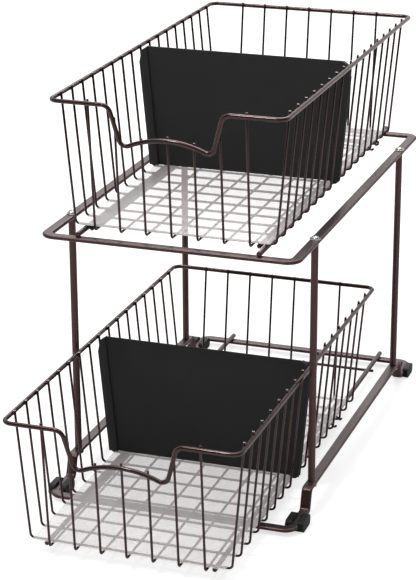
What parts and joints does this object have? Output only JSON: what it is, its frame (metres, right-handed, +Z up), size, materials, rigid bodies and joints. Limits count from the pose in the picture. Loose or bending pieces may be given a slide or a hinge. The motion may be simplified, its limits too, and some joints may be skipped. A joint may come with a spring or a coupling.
{
  "type": "pull out cabinet basket",
  "caption": "Tiered stand of flat bar and posts on feet, carrying wire baskets with liners and lift-out dividers that slide out on runner rods.",
  "frame": {"origin": "middle of the whole part's box at the plane that the feet stand on, with the lower basket stored partly pulled out", "axes": "+Z up, -Y is the pull-out direction, +X is the right side seen from the front"},
  "size_m": [0.26, 0.5796, 0.4047],
  "materials": {
    "frame_metal": "dark bronze satin powder coat",
    "basket_wire": "dark bronze satin coat on welded wire",
    "foot_plastic": "near-black moulded plastic",
    "screw_chrome": "bright plated",
    "plug_metal": "plain steel",
    "liner_plastic": "clear frosted sheet",
    "divider_plastic": "charcoal moulded plastic"
  },
  "bodies": {
    "stand": {"top_front_bar": "frame_metal", "top_rear_bar": "frame_metal", "top_rail_left": "frame_metal", "top_rail_right": "frame_metal", "post_front_left": "frame_metal", "post_front_right": "frame_metal", "post_rear_left": "frame_metal", "post_rear_right": "frame_metal", "bottom_front_bar": "frame_metal", "bottom_rear_bar": "frame_metal", "bottom_rail_left": "frame_metal", "bottom_rail_right": "frame_metal", "top_runner_left": "frame_metal", "top_runner_right": "frame_metal", "bottom_runner_left": "frame_metal", "bottom_runner_right": "frame_metal", "top_brace": "frame_metal", "bottom_brace": "frame_metal", "foot_front_left": "foot_plastic", "foot_front_right": "foot_plastic", "foot_rear_left": "foot_plastic", "foot_rear_right": "foot_plastic", "post_plugs": "plug_metal", "top_washers": "screw_chrome", "top_screws": "screw_chrome", "bottom_washers": "screw_chrome", "bottom_screws": "screw_chrome"},
    "upper_basket": {"upper_rim": "basket_wire", "upper_cross_wires": "basket_wire", "upper_long_wires": "basket_wire", "upper_guide_rods": "basket_wire", "upper_hooks": "basket_wire", "upper_liner": "liner_plastic"},
    "upper_divider_panel": {"upper_divider": "divider_plastic"},
    "lower_basket": {"lower_rim": "basket_wire", "lower_cross_wires": "basket_wire", "lower_long_wires": "basket_wire", "lower_guide_rods": "basket_wire", "lower_hooks": "basket_wire", "lower_liner": "liner_plastic"},
    "lower_divider_panel": {"lower_divider": "divider_plastic"}
  },
  "joints": [
    {"name": "upper_basket_slide", "type": "slide", "parent": "stand", "child": "upper_basket", "axis": [0, 1, 0], "range_m": [-0.22, 0.02]},
    {"name": "lower_basket_slide", "type": "slide", "parent": "stand", "child": "lower_basket", "axis": [0, 1, 0], "range_m": [-0.095, 0.145]},
    {"name": "upper_divider_lift", "type": "slide", "parent": "upper_basket", "child": "upper_divider_panel", "axis": [0, 0, 1], "range_m": [0, 0.128]},
    {"name": "lower_divider_lift", "type": "slide", "parent": "lower_basket", "child": "lower_divider_panel", "axis": [0, 0, 1], "range_m": [0, 0.128]}
  ]
}
